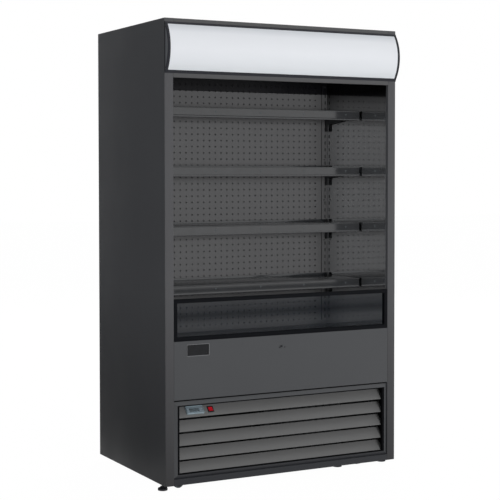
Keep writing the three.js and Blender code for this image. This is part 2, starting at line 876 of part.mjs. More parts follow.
// The evaporator lies in the well under the deck, with a fan plate in front of it.
function addEvaporator() {
  const wellTop = deckZ - 20;
  const middle = (wellFloorZ + wellTop) / 2;
  const coilHeight = 140;
  const coil = piece("evaporator_coil", finnedBlock(900, 130, coilHeight, 16), finishes.finStock);
  coil.position.set(0, 60, wellFloorZ + gap + coilHeight / 2);

  const plateY = -60;
  const plateSheet = 4;
  const fanX = 230;
  const fanRadius = 62;
  const motorRadius = 24;
  const strutBack = plateY + plateSheet + 8;
  const plate = box([-fittedX, fittedX], [plateY, plateY + plateSheet], [wellFloorZ + gap, wellTop]);
  const rings = sides.map(([, sign]) =>
    cylinder(fanRadius + 5, 20, "y", 20).translate(sign * fanX, plateY, middle),
  );
  const mounts = sides.flatMap(([, sign]) => [
    cylinder(motorRadius, 30, "y", 16).translate(sign * fanX, strutBack + 7, middle),
    box(about(sign * fanX, 150), [plateY + plateSheet, strutBack], about(middle, 12)),
    box(about(sign * fanX - 70, 10), [plateY + 1, strutBack], about(middle, 12)),
    box(about(sign * fanX + 70, 10), [plateY + 1, strutBack], about(middle, 12)),
  ]);
  piece("evaporator_fan_plate", join(cut(plate, ...rings), ...mounts), finishes.finStock);
  for (const [side, sign] of sides) {
    const fan = piece(`evaporator_fan_blade_${side}`, fanBlade(fanRadius, 18, 10), finishes.blackPlastic);
    fan.position.set(sign * fanX, plateY - 6, middle);
  }
}

addSidePanels();
addRearPanel();
addTopPanel();
addHeaderPanel();
addInsulatedFloor();
addBaseTray();
addCanopy();
addLiners();
addHoneycomb();
addUprights();
addShelves();
addFrontGlass();
addLowerPanel();
addBadgePlate();
addDeck();
addGrille();
addController();
addPowerSwitch();
addFeet();
addCasters();
addCompressor();
addCondenser();
addEvaporator();

export default root;
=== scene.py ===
import math

import bmesh
import bpy
from mathutils import Matrix, Vector


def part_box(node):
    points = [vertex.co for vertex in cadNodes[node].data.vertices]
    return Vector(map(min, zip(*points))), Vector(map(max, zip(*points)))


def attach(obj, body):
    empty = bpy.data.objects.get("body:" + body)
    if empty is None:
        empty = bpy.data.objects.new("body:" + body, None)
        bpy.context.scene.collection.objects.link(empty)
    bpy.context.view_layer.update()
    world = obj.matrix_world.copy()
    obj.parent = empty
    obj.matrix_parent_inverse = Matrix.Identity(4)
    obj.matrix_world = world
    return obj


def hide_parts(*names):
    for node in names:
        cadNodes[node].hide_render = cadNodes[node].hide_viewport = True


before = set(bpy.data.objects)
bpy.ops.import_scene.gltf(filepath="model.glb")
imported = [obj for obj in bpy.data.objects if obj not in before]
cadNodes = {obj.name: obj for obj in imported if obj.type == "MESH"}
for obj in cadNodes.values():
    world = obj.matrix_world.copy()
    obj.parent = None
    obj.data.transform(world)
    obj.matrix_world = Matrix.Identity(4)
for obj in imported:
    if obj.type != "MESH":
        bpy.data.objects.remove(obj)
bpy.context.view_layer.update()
standUp = Matrix.Rotation(math.pi / 2, 4, "X")  # turns a flat drawing into a front view
print("frame loaded with", len(cadNodes), "nodes")


# ways to build a finish
sockets = {
    "rough": "Roughness", "metal": "Metallic", "specular": "Specular IOR Level",
    "glow": "Emission Strength", "alpha": "Alpha",
}
patterns = {  # how fine each noise is
    "paintTone": 2.0, "paintSheen": 5.0, "paintPeel": 650.0,
    "plasticTone": 25.0, "plasticSheen": 60.0, "plasticSpark": 1800.0,
    "metalSheen": 30.0, "metalBrush": 300.0,
}
sparkDepth = 0.00005


def shade(red, green, blue):  # a screen colour as the shader wants it
    return tuple(((part / 255 + 0.055) / 1.055) ** 2.4 for part in (red, green, blue))


def startFinish(name, **values):
    finish = bpy.data.materials.new(name)
    finish.use_nodes = True
    for key, value in values.items():
        shaderOf(finish).inputs[sockets[key]].default_value = value
    return finish


def shaderOf(finish):
    return finish.node_tree.nodes["Principled BSDF"]


def grain(finish, scale, detail=3.0, stretch=(1, 1, 1)):  # noise on the piece's own coordinates
    tree = finish.node_tree
    place = tree.nodes.new("ShaderNodeTexCoord")
    mapping = tree.nodes.new("ShaderNodeMapping")
    noise = tree.nodes.new("ShaderNodeTexNoise")
    mapping.inputs["Scale"].default_value = stretch
    noise.inputs["Scale"].default_value = scale
    noise.inputs["Detail"].default_value = detail
    tree.links.new(place.outputs["Object"], mapping.inputs["Vector"])
    tree.links.new(mapping.outputs["Vector"], noise.inputs["Vector"])
    return noise.outputs["Fac"]


def spread(tree, source, start, end, low, high):  # maps one range of values to another
    ranger = tree.nodes.new("ShaderNodeMapRange")
    for socket, value in (("From Min", start), ("From Max", end), ("To Min", low), ("To Max", high)):
        ranger.inputs[socket].default_value = value
    tree.links.new(source, ranger.inputs["Value"])
    return ranger.outputs["Result"]


def tint(finish, source, darker, lighter, low=0.3, high=0.7):
    tree = finish.node_tree
    ramp = tree.nodes.new("ShaderNodeValToRGB")
    ramp.color_ramp.elements[0].position = low
    ramp.color_ramp.elements[0].color = (*darker, 1)
    ramp.color_ramp.elements[1].position = high
    ramp.color_ramp.elements[1].color = (*lighter, 1)
    tree.links.new(source, ramp.inputs["Fac"])
    tree.links.new(ramp.outputs["Color"], shaderOf(finish).inputs["Base Color"])
    return ramp


def mottle(finish, source, colour, less, more):  # a colour that wanders about its middle
    darker = tuple(part * less for part in colour)
    lighter = tuple(min(part * more, 1.0) for part in colour)
    tint(finish, source, darker, lighter)


def polish(finish, source, low, high):  # roughness that wanders between two values
    tree = finish.node_tree
    tree.links.new(spread(tree, source, 0.3, 0.7, low, high), shaderOf(finish).inputs["Roughness"])


def relief(finish, source, depth, strength):
    tree = finish.node_tree
    bump = tree.nodes.new("ShaderNodeBump")
    bump.inputs["Strength"].default_value = strength
    bump.inputs["Distance"].default_value = depth
    tree.links.new(source, bump.inputs["Height"])
    tree.links.new(bump.outputs["Normal"], shaderOf(finish).inputs["Normal"])


def heightSpread(finish, z0, z1, low=0.0, high=1.0):  # a value that follows the piece's own height
    tree = finish.node_tree
    place = tree.nodes.new("ShaderNodeTexCoord")
    split = tree.nodes.new("ShaderNodeSeparateXYZ")
    tree.links.new(place.outputs["Object"], split.inputs["Vector"])
    return spread(tree, split.outputs["Z"], z0, z1, low, high)


def paintShadeWithHeight(finish, z0, z1, low, high):  # painted shade: scales the colour between two heights
    tree = finish.node_tree
    colour = shaderOf(finish).inputs["Base Color"]
    scale = tree.nodes.new("ShaderNodeVectorMath")
    scale.operation = "SCALE"
    tree.links.new(colour.links[0].from_socket, scale.inputs[0])
    tree.links.new(heightSpread(finish, z0, z1, low, high), scale.inputs["Scale"])
    tree.links.new(scale.outputs["Vector"], colour)


def coatedSteel(name, colour, rough, specular, peel=0.00002):
    finish = startFinish(name, specular=specular)
    mottle(finish, grain(finish, patterns["paintTone"]), colour, 0.975, 1.025)
    polish(finish, grain(finish, patterns["paintSheen"], 2.0), rough * 0.94, rough * 1.06)
    relief(finish, grain(finish, patterns["paintPeel"], 2.0), peel, 0.3)  # orange peel of the coating
    return finish


def mouldedPlastic(name, colour, rough, specular):
    finish = startFinish(name, specular=specular)
    mottle(finish, grain(finish, patterns["plasticTone"]), colour, 0.9, 1.1)
    polish(finish, grain(finish, patterns["plasticSheen"], 2.0), rough * 0.9, rough * 1.1)
    relief(finish, grain(finish, patterns["plasticSpark"], 2.0), sparkDepth, 0.4)  # fine spark-eroded texture
    return finish


def bareMetal(name, colour, rough, stretch, depth):
    finish = startFinish(name, metal=1.0)
    brushed = grain(finish, patterns["metalBrush"], 4.0, stretch)
    mottle(finish, brushed, colour, 0.92, 1.06)
    sheen = grain(finish, patterns["metalSheen"], 3.0, stretch)
    polish(finish, sheen, rough * 0.85, rough * 1.15)
    relief(finish, brushed, depth, 0.3)
    return finish


def tonedFinish(name, values, scale, darker, lighter, bumps=None):
    finish = startFinish(name, **values)
    tint(finish, grain(finish, scale), darker, lighter)
    if bumps:
        fine, detail, depth, strength = bumps
        relief(finish, grain(finish, fine, detail), depth, strength)
    return finish


paints = {  # colour, roughness, specular level and, where it differs, the depth of the orange peel
    "side": (shade(88, 89, 92), 0.55, 0.12),
    "strip": (shade(77, 77, 79), 0.45, 0.2),
    "cap": (shade(112, 115, 121), 0.45, 0.2),
    "front": (shade(77, 77, 78), 0.42, 0.25),
    "panel": (shade(68, 69, 71), 0.4, 0.25),
    "slat": (shade(96, 96, 96), 0.42, 0.25),
    "rail": (shade(44, 45, 48), 0.45, 0.2),
    # painted shade: a darker copy of the panel paint for the grille's lower bar
    "bar": (shade(43, 44, 47), 0.4, 0.25),
    "duct": (shade(94, 94, 95), 0.45, 0.2, 0.000002),
    # painted shade under the header, on the top of the rear panel and uprights
    "ductShadeTop": (shade(20, 20, 23), 0.3, 0.3),
    "shelf": (shade(40, 42, 45), 0.1, 0.8, 0.000002),
    "bracket": (shade(62, 63, 65), 0.3, 0.3),
    "compressor": (shade(17, 18, 20), 0.3, 0.5),
}
finishes = {key + "Paint": coatedSteel(key + "Paint", *values) for key, values in paints.items()}

plastics = {  # colour, roughness and specular level
    "blackTrim": (shade(32, 33, 39), 0.42, 0.25),
    "blackFrame": (shade(12, 13, 16), 0.5, 0.06),
    "rubber": (shade(14, 14, 15), 0.8, 0.1),
    "shadowBlack": (shade(10, 10, 12), 0.8, 0.05),
    "blackPlastic": (shade(21, 22, 26), 0.55, 0.3),
    "controllerCase": (shade(96, 108, 117), 0.45, 0.4),
    "castGrey": (shade(75, 80, 82), 0.6, 0.3),
    "tagPlastic": (shade(44, 45, 47), 0.12, 0.8),
    "keyPlastic": (shade(120, 128, 134), 0.5, 0.4),
}
finishes.update({key: mouldedPlastic(key, *values) for key, values in plastics.items()})

metals = {  # colour, roughness, stretch of the brushing and its depth
    "mirrorSteel": ((0.94, 0.955, 0.97), 0.07, (1, 1, 0.03), 0.0000005),
    "zinc": ((0.42, 0.43, 0.45), 0.33, (1, 1, 1), 0.00002),
    "finStock": ((0.62, 0.63, 0.65), 0.3, (1, 1, 0.1), 0.00002),
    "badgeRim": ((0.24, 0.245, 0.255), 0.35, (0.1, 1, 1), 0.000005),
}
finishes.update({key: bareMetal(key, *values) for key, values in metals.items()})

special = {  # values, scale of the tone, its two colours, and relief as scale, detail, depth and strength
    "lampGlass": ({"rough": 0.3, "glow": 0.6}, 20.0, shade(225, 229, 234), shade(238, 240, 243)),
    "frontGlass": (  # float glass is never quite flat
        {"rough": 0.02, "specular": 0.0, "alpha": 0.13}, 2.0, shade(32, 39, 48), shade(36, 44, 54),
        (6.0, 1.0, 0.00004, 0.1),
    ),
    "clearPlastic": (
        {"rough": 0.06, "specular": 0.5, "alpha": 0.1}, 40.0, shade(165, 184, 194), shade(184, 201, 210),
        (300.0, 3.0, 0.00003, 0.2),
    ),
    "clearWall": (  # the cover's walls, seen edge on
        {"rough": 0.15, "specular": 0.5, "alpha": 0.55}, 60.0, shade(168, 190, 202), shade(186, 205, 214),
        (300.0, 3.0, 0.00003, 0.2),
    ),
    "redLens": (
        {"rough": 0.28, "specular": 0.5}, 220.0, (0.46, 0.008, 0.016), (0.60, 0.016, 0.028),
        (900.0, 3.0, 0.00005, 0.3),
    ),
    "displayWindow": ({"rough": 0.08, "specular": 0.4}, 120.0, shade(14, 16, 19), shade(22, 25, 29)),
    "badgeEnamel": (
        {"rough": 0.12, "specular": 0.2}, 30.0, shade(13, 14, 16), shade(22, 23, 26),
        (500.0, 3.0, 0.00002, 0.3),
    ),
}
finishes.update({key: tonedFinish(key, *values) for key, values in special.items()})
shaderOf(finishes["lampGlass"]).inputs["Emission Color"].default_value = (0.93, 0.96, 1.0, 1)

paintedShades = [  # painted shade: two heights in metres and the factor on the colour at each
    # side panels and their front strips darken towards the floor: painted shade
    ("sidePaint", 0.0, 0.85, 0.45, 1.0),
    ("stripPaint", 0.0, 0.85, 0.45, 1.0),
    # the mirror liner darkens towards the top: painted shade under the header
    ("mirrorSteel", 1.62, 1.76, 1.0, 0.15),
    ("ductPaint", 0.695, 0.745, 0.32, 1.0),  # painted shade: these two make a dark band on the rear panel behind the low glass
    ("ductPaint", 0.645, 0.695, 3.4, 1.0),
]
for key, *values in paintedShades:
    paintShadeWithHeight(finishes[key], *values)

# painted shade: the diffuser's colour follows its height, darker towards its top and bottom edges
diffuser = {
    "low": 1.812, "high": 2.006, "lowTone": shade(214, 218, 221), "highTone": shade(203, 206, 211),
    "tones": {0.16: shade(219, 222, 226), 0.5: shade(222, 224, 228), 0.86: shade(219, 221, 225)},
    "wander": 0.06,
}


def diffuserFinish():  # painted shade: a little darker towards its edges, where the light tube is farther
    finish = startFinish("diffuserPlastic", rough=0.42, specular=0.4)
    tree = finish.node_tree
    wander = tree.nodes.new("ShaderNodeMath")
    wander.operation = "MULTIPLY_ADD"
    wander.inputs[1].default_value = diffuser["wander"]
    tree.links.new(grain(finish, 4.0, 2.0, (0.3, 1, 1)), wander.inputs[0])
    tree.links.new(heightSpread(finish, diffuser["low"], diffuser["high"]), wander.inputs[2])
    ramp = tint(finish, wander.outputs[0], diffuser["lowTone"], diffuser["highTone"], 0.0, 1.0)
    for position, tone in diffuser["tones"].items():
        ramp.color_ramp.elements.new(position).color = (*tone, 1)
    relief(finish, grain(finish, 900.0, 2.0), 0.00004, 0.3)
    return finish


finishes["diffuserPlastic"] = diffuserFinish()
print("finishes made:", len(finishes))


# ways to build a mesh

def giveSlot(verts, slot):  # one finish for all faces at some points
    for vert in verts:
        for face in vert.link_faces:
            face.material_index = slot


def blockAt(bm, low, high, edge=0.0, segments=2, slot=0):
    low, high = Vector(low), Vector(high)
    verts = bmesh.ops.create_cube(bm, size=1.0)["verts"]
    bmesh.ops.scale(bm, vec=high - low, verts=verts)
    bmesh.ops.translate(bm, vec=(low + high) / 2, verts=verts)
    giveSlot(verts, slot)
    if edge:
        edges = list(dict.fromkeys(e for vert in verts for e in vert.link_edges))
        bevelEdges(bm, edges, edge, segments)


def bevelEdges(bm, edges, width, segments=2):
    bmesh.ops.bevel(
        bm, geom=edges, offset=width, offset_type="OFFSET", segments=segments,
        profile=0.5, affect="EDGES", clamp_overlap=True, material=-1,
    )


def wholeMesh(bm):
    return list(bm.verts) + list(bm.edges) + list(bm.faces)


def faceOutward(bm):
    bmesh.ops.recalc_face_normals(bm, faces=bm.faces)


def placeAll(bm, matrix):
    bmesh.ops.transform(bm, matrix=matrix, verts=bm.verts)


def insetFace(bm, face, width):
    bmesh.ops.inset_region(bm, faces=[face], thickness=width, use_even_offset=True)


def moveNew(bm, made, offset):  # shifts the points among newly made items
    moved = [item for item in made if isinstance(item, bmesh.types.BMVert)]
    bmesh.ops.translate(bm, vec=offset, verts=moved)


def thicken(bm, faces, offset):  # extrudes faces and shifts the new side
    made = bmesh.ops.extrude_face_region(bm, geom=faces)["geom"]
    moveNew(bm, made, offset)
    return made


def repeatMesh(bm, count, step):  # copies of all there is, each one step further
    pattern = wholeMesh(bm)
    for index in range(1, count):
        copy = bmesh.ops.duplicate(bm, geom=pattern)["geom"]
        moveNew(bm, copy, tuple(index * part for part in step))


def paneAt(bm, place, width, height):  # one flat rectangle
    sized = place @ Matrix.Diagonal((width, height, 1, 1))
    return bmesh.ops.create_grid(bm, x_segments=1, y_segments=1, size=0.5, matrix=sized)["verts"]


def rodBetween(bm, start, end, radius, segments=20, slot=0, edge=0.0):
    start, end = Vector(start), Vector(end)
    along = end - start
    turn = along.to_track_quat("Z", "Y").to_matrix().to_4x4()
    made = bmesh.ops.create_cone(
        bm, cap_ends=True, segments=segments, radius1=radius, radius2=radius,
        depth=along.length, matrix=Matrix.Translation((start + end) / 2) @ turn,
    )["verts"]
    giveSlot(made, slot)
    if edge:
        rims = [e for vert in made for e in vert.link_edges if len(e.link_faces) == 2]
        rims = [e for e in dict.fromkeys(rims) if e.calc_face_angle() > 1.2]
        bevelEdges(bm, rims, edge)


def screwHead(bm, base, outward, radius, height, slot=0):  # domed head with a driver recess
    outward = Vector(outward).normalized()
    turn = outward.to_track_quat("Z", "Y").to_matrix().to_4x4()
    made = bmesh.ops.create_cone(
        bm, cap_ends=True, segments=16, radius1=radius, radius2=radius * 0.8,
        depth=height, matrix=Matrix.Translation(Vector(base) + outward * height / 2) @ turn,
    )["verts"]
    giveSlot(made, slot)
    faces = dict.fromkeys(f for vert in made for f in vert.link_faces)
    ends = [f for f in faces if len(f.verts) > 8]
    cap = max(ends, key=lambda f: f.calc_center_median().dot(outward))
    bmesh.ops.inset_region(bm, faces=[cap], thickness=radius * 0.42)
    bmesh.ops.translate(bm, vec=outward * height * -0.5, verts=cap.verts)


def sweepAlongX(bm, profile, x0, x1, slot=0):  # a (y, z) outline carried along X
    verts = [bm.verts.new((x0, y, z)) for y, z in profile]
    face = bm.faces.new(verts)
    face.material_index = slot
    thicken(bm, [face], (x1 - x0, 0, 0))


def ringFrame(bm, low, high, bar, slot=0):  # mitred frame in the XZ plane, from low.y back to high.y
    centre = ((low[0] + high[0]) / 2, low[1], (low[2] + high[2]) / 2)
    made = paneAt(bm, Matrix.Translation(centre) @ standUp, high[0] - low[0], high[2] - low[2])
    pane = made[0].link_faces[0]
    ring = bmesh.ops.inset_region(
        bm, faces=[pane], thickness=bar, use_boundary=True, use_even_offset=True,
    )["faces"]
    bmesh.ops.delete(bm, geom=[pane], context="FACES")
    for face in ring:
        face.material_index = slot
    thicken(bm, ring, (0, high[1] - low[1], 0))


def spunAbout(bm, profile, segments):  # a (radius, z) line turned about Z
    verts = [bm.verts.new((radius, 0, z)) for radius, z in profile]
    edges = [bm.edges.new(pair) for pair in zip(verts, verts[1:])]
    bmesh.ops.spin(
        bm, geom=verts + edges, cent=(0, 0, 0), axis=(0, 0, 1), dvec=(0, 0, 0),
        angle=2 * math.pi, steps=segments, use_merge=True, use_duplicate=False,
    )
    bmesh.ops.remove_doubles(bm, verts=bm.verts, dist=0.000005)


def sharpEdges(bm, angle=25):
    limit = math.radians(angle)
    return [e for e in bm.edges if len(e.link_faces) == 2 and e.calc_face_angle() > limit]


def softenedCopy(node, width, segments=2, angle=30):  # a CAD solid with its edges broken
    bm = bmesh.new()
    bm.from_mesh(cadNodes[node].data)
    for face in bm.faces:
        face.material_index = 0
    bmesh.ops.remove_doubles(bm, verts=bm.verts, dist=0.00001)
    bmesh.ops.dissolve_limit(bm, angle_limit=math.radians(1), verts=bm.verts, edges=bm.edges)
    bevelEdges(bm, sharpEdges(bm, angle), width, segments)
    return bm


def finishPiece(bm, name, body, finishNames, node, smooth=35, outward=True):
    if outward:
        faceOutward(bm)
    mesh = bpy.data.meshes.new(name)
    bm.to_mesh(mesh)
    bm.free()
    for key in finishNames:
        mesh.materials.append(finishes[key])
    mesh.polygons.foreach_set("use_smooth", [True] * len(mesh.polygons))
    mesh.set_sharp_from_angle(angle=math.radians(smooth))
    piece = bpy.data.objects.new(name, mesh)
    bpy.context.scene.collection.objects.link(piece)
    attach(piece, body)
    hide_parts(node)


def plainPiece(node, edge, name, body, finishName, segments=2):  # a softened solid in one finish
    finishPiece(softenedCopy(node, edge, segments), name, body, [finishName], node)


# cabinet shell
shell = {
    "sideEdge": 0.0022, "panelEdge": 0.0014, "trayEdge": 0.0008, "recess": 0.0014,
    "screwRadius": 0.0045, "screwRise": 0.0013, "lidRim": 0.012, "lidScrewsX": (-0.5, 0.0, 0.5),
    "lidInset": 0.03,
}
rear = {
    "seamLow": 0.438, "seamHigh": 0.4395, "sheet": 0.0025, "core": 0.002,
    "screwX": 0.525, "screwLow": 0.1, "screwStep": 0.312, "screwRows": 7,
    "ventX": 0.3, "ventHalf": 0.13, "ventLow": 0.15, "ventPitch": 0.026, "ventSlots": 9, "ventRoot": 0.001,
    "slotRise": 0.0003, "slotTop": 0.005, "hoodTop": 0.012, "hoodEdge": 0.0005,
}


def buildShell():
    for side in ("left", "right"):
        node = f"{side}_side_panel"
        bm = softenedCopy(node, shell["sideEdge"], 3)
        bm.normal_update()
        for face in bm.faces:
            face.material_index = 1 if face.normal.y < -0.5 else 0
        finishPiece(bm, f"sidePanel_{side}", "cabinet", ["sidePaint", "stripPaint"], node)

    bm = softenedCopy("top_panel", shell["panelEdge"])
    low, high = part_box("top_panel")
    bm.normal_update()
    field = max((f for f in bm.faces if f.normal.z > 0.99), key=lambda f: f.calc_area())
    insetFace(bm, field, shell["lidRim"])
    bmesh.ops.translate(bm, vec=(0, 0, -shell["recess"]), verts=field.verts)
    for x in shell["lidScrewsX"]:
        for y in (low.y + shell["lidInset"], high.y - shell["lidInset"]):
            base = (x, y, high.z - shell["recess"])
            screwHead(bm, base, (0, 0, 1), shell["screwRadius"], shell["screwRise"], 1)
    finishPiece(bm, "topLid", "cabinet", ["frontPaint", "zinc"], "top_panel")

    plainPiece("header_panel", shell["panelEdge"], "headerRail", "cabinet", "frontPaint")
    plainPiece("base_tray", shell["trayEdge"], "baseTray", "cabinet", "railPaint")


def buildRearPanel():  # rear skin and lower cover with rows of pressed vents and screws
    low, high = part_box("rear_panel")
    skin = high.y - shell["recess"]
    inner = skin - rear["sheet"]
    bm = bmesh.new()
    blockAt(bm, low, (high.x, skin - rear["core"], high.z))
    blockAt(bm, (low.x, inner, low.z), (high.x, skin, rear["seamLow"]), shell["panelEdge"])
    blockAt(bm, (low.x, inner, rear["seamHigh"]), (high.x, skin, high.z), shell["panelEdge"])
    for side in (-1, 1):
        for step in range(rear["screwRows"]):
            base = (side * rear["screwX"], skin, rear["screwLow"] + step * rear["screwStep"])
            screwHead(bm, base, (0, 1, 0), shell["screwRadius"], shell["screwRise"], 1)
    root, half = skin - rear["ventRoot"], rear["ventHalf"]
    for column in (-rear["ventX"], rear["ventX"]):
        x0, x1 = column - half, column + half
        for row in range(rear["ventSlots"]):
            z = rear["ventLow"] + row * rear["ventPitch"]
            slotTop = z + rear["slotTop"]
            blockAt(bm, (x0, root, z), (x1, skin + rear["slotRise"], slotTop), slot=2)
            blockAt(bm, (x0, root, slotTop), (x1, high.y, z + rear["hoodTop"]), rear["hoodEdge"])
    finishPiece(bm, "rearSkin", "cabinet", ["sidePaint", "zinc", "shadowBlack"], "rear_panel")


buildShell()
buildRearPanel()
print("cabinet shell built")


# lit canopy
canopy = {
    "low": 1.799, "high": 2.016, "front": -0.399, "back": -0.3613, "bulge": 0.0377, "halfWidth": 0.5875,
    "capWidth": 0.012, "capEdge": 0.0012, "capSink": 0.0012, "rim": 0.0055,
    "screwY": -0.3695, "screwInset": 0.017, "screwSink": 0.0014, "screwRadius": 0.0032, "screwRise": 0.0013,
    "mouthX": 0.5752, "plate": 0.002, "seam": 0.0003, "diffuserSink": 0.0005, "skin": 0.0025,
}


def canopyY(z, inset=0.0):  # front of the bulge at a height
    chord = canopy["high"] - canopy["low"]
    rise = canopy["bulge"]
    radius = chord * chord / (8 * rise) + rise / 2
    middle = (canopy["high"] + canopy["low"]) / 2
    return canopy["front"] + radius - math.sqrt((radius - inset) ** 2 - (z - middle) ** 2)


def canopyLine(inset, z0, z1, steps):
    heights = [z0 + (z1 - z0) * i / steps for i in range(steps + 1)]
    return [(canopyY(z, inset), z) for z in heights]


def buildEndCap(side, sign):
    low, high, back = canopy["low"], canopy["high"], canopy["back"]
    outer = sign * canopy["halfWidth"]
    inner = sign * (canopy["halfWidth"] - canopy["capWidth"])
    bm = bmesh.new()
    sweepAlongX(bm, canopyLine(0.0, low, high, 40) + [(back, high), (back, low)], inner, outer)
    faceOutward(bm)
    face = max(bm.faces, key=lambda f: f.calc_center_median().x * sign)
    bevelEdges(bm, list(face.edges), canopy["capEdge"])
    flats = [f for f in bm.faces if abs(f.normal.x) > 0.99]
    face = max(flats, key=lambda f: f.calc_area() * f.normal.x * sign)
    insetFace(bm, face, canopy["rim"])
    face.material_index = 1
    bmesh.ops.translate(bm, vec=(-sign * canopy["capSink"], 0, 0), verts=face.verts)
    for z in (low + canopy["screwInset"], high - canopy["screwInset"]):
        base = (outer - sign * canopy["screwSink"], canopy["screwY"], z)
        screwHead(bm, base, (sign, 0, 0), canopy["screwRadius"], canopy["screwRise"], 2)
    finishPiece(
        bm, f"canopyEndCap_{side}", "cabinet",
        ["blackTrim", "capPaint", "zinc"], f"canopy_end_cap_{side}",
    )


def buildCanopy():
    buildEndCap("left", -1)
    buildEndCap("right", 1)

    low, high, back, mouth = canopy["low"], canopy["high"], canopy["back"], canopy["mouthX"]
    bm = bmesh.new()
    plate = back - canopy["plate"]
    lowTrim = canopyLine(0.0, low, diffuser["low"] - canopy["seam"], 6)
    highTrim = canopyLine(0.0, diffuser["high"] + canopy["seam"], high, 6)
    outline = lowTrim + [(plate, lowTrim[-1][1]), (plate, highTrim[0][1])]
    outline += highTrim + [(back, high), (back, low)]
    sweepAlongX(bm, outline, -mouth, mouth)
    finishPiece(bm, "canopyHousing", "cabinet", ["blackTrim"], "canopy_housing")

    bm = bmesh.new()
    sink = canopy["diffuserSink"]
    outside = canopyLine(sink, diffuser["low"], diffuser["high"], 48)
    inside = canopyLine(sink + canopy["skin"], diffuser["high"], diffuser["low"], 48)
    sweepAlongX(bm, outside + inside, -mouth, mouth)
    finishPiece(bm, "canopyDiffuser", "cabinet", ["diffuserPlastic"], "canopy_diffuser")


buildCanopy()
print("canopy built")


# perforated rear panel, uprights and deck
duct = {
    "front": 0.1817, "back": 0.1836, "columns": 32, "rows": 40, "pitchX": 0.0309, "pitchZ": 0.0294,
    "topRow": 1.7946, "holeRadius": 0.0038, "halfWidth": 0.5449, "low": 0.4403, "high": 1.829,
    "bandLow": 1.764,
}
lining = {
    "uprightEdge": 0.0003, "shadowX": 0.002, "shadowFront": 0.002, "shadowBack": 0.0005, "shadowZ": 0.001,
    "trays": [("deck_pan", "deckPan", 0.0006), ("return_air_grille", "returnAirGrille", 0.0008)],
}


def paintShadeAbove(bm, slot):  # faces above the band line take a darker finish: painted shade under the header
    level = (0, 0, duct["bandLow"])
    bmesh.ops.bisect_plane(bm, geom=wholeMesh(bm), plane_co=level, plane_no=(0, 0, 1), dist=0.00001)
    bm.normal_update()
    for face in bm.faces:
        if face.material_index == 0 and face.calc_center_median().z > duct["bandLow"]:
            face.material_index = slot


def buildHoleCell(bm):  # one hole with its rectangle of sheet, lying flat
    hole = bmesh.ops.create_circle(bm, cap_ends=False, segments=8, radius=duct["holeRadius"])["verts"]
    border = bmesh.ops.create_circle(bm, cap_ends=False, segments=8, radius=1.0)["verts"]
    for vert in border:  # rounding sends the outer loop to the rectangle's corners and middles
        vert.co.x = duct["pitchX"] / 2 * round(vert.co.x * 1.2)
        vert.co.y = duct["pitchZ"] / 2 * round(vert.co.y * 1.2)
    holeEdges = list(dict.fromkeys(e for vert in hole for e in vert.link_edges))
    bmesh.ops.bridge_loops(bm, edges=list(bm.edges))
    made = bmesh.ops.extrude_edge_only(bm, edges=holeEdges)["geom"]
    moveNew(bm, made, (0, 0, -(duct["back"] - duct["front"])))
    for item in made:
        if isinstance(item, bmesh.types.BMFace):
            item.material_index = 1


def buildDuctPanel():
    bm = bmesh.new()
    buildHoleCell(bm)
    firstX = -duct["pitchX"] * (duct["columns"] - 1) / 2
    stand = Matrix.Translation((firstX, duct["front"], duct["topRow"])) @ standUp
    placeAll(bm, stand)
    repeatMesh(bm, duct["columns"], (duct["pitchX"], 0, 0))
    repeatMesh(bm, duct["rows"], (0, 0, -duct["pitchZ"]))
    bmesh.ops.remove_doubles(bm, verts=bm.verts, dist=0.0001)

    wide = duct["halfWidth"]
    fieldX = duct["pitchX"] * duct["columns"] / 2
    fieldHigh = duct["topRow"] + duct["pitchZ"] / 2
    fieldLow = fieldHigh - duct["pitchZ"] * duct["rows"]
    for x0, x1, z0, z1 in (
        (-wide, wide, fieldHigh, duct["high"]),
        (-wide, wide, duct["low"], fieldLow),
        (-wide, -fieldX, fieldLow, fieldHigh),
        (fieldX, wide, fieldLow, fieldHigh),
    ):
        middle = ((x0 + x1) / 2, duct["front"], (z0 + z1) / 2)
        paneAt(bm, Matrix.Translation(middle) @ standUp, x1 - x0, z1 - z0)
    paintShadeAbove(bm, 2)
    for face in bm.faces:  # every flat face looks forward
        if face.normal.y > 0.5:
            face.normal_flip()
    finishPiece(
        bm, "ductPanel", "cabinet",
        ["ductPaint", "shadowBlack", "ductShadeTopPaint"], "rear_duct_panel", outward=False,
    )


def buildLining():
    for side in ("left", "right"):
        bm = softenedCopy(f"upright_{side}", lining["uprightEdge"], 1)
        low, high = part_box(f"upright_{side}")
        inX, inZ = lining["shadowX"], lining["shadowZ"]
        shadowLow = (low.x + inX, high.y - lining["shadowFront"], low.z + inZ)
        shadowHigh = (high.x - inX, high.y - lining["shadowBack"], high.z - inZ)
        blockAt(bm, shadowLow, shadowHigh, slot=1)
        paintShadeAbove(bm, 2)
        finishPiece(
            bm, f"slottedUpright_{side}", "cabinet",
            ["ductPaint", "shadowBlack", "ductShadeTopPaint"], f"upright_{side}",
        )
    for node, name, edge in lining["trays"]:
        plainPiece(node, edge, name, "cabinet", "shelfPaint")


buildDuctPanel()
buildLining()
print("interior built")


# shelves with their price rails
shelves = {
    "heights": [1.6696, 1.402933, 1.136267, 0.8696], "edge": 0.0005,
    "railX": 0.538, "railBack": -0.1263, "railFront": -0.133, "railTop": 0.001, "railLow": 0.043,
    "flat": 0.0021, "flatTop": 0.004, "flatLow": 0.0342, "lip": 0.0016,
    "gripDrop": 0.0012, "gripHalf": 0.002, "footDrop": 0.0385, "footHalf": 0.0034,
    "clips": [-0.462, -0.231, 0.0, 0.231, 0.462],
    "clipBars": [(0.005, 0.0185, 0.0155), (0.0015, 0.0245, 0.019)],
    "clipRoot": 0.0009, "clipRise": 0.001, "clipEdge": 0.0004,
}


def lipOutline(z, half):  # rounded lip that stands proud of the rail's flat face
    turns = [math.radians(degrees) for degrees in range(90, -91, -20)]
    lip, front = shelves["lip"], shelves["railFront"]
    return [(front + lip - lip * math.cos(turn), z + half * math.sin(turn)) for turn in turns]


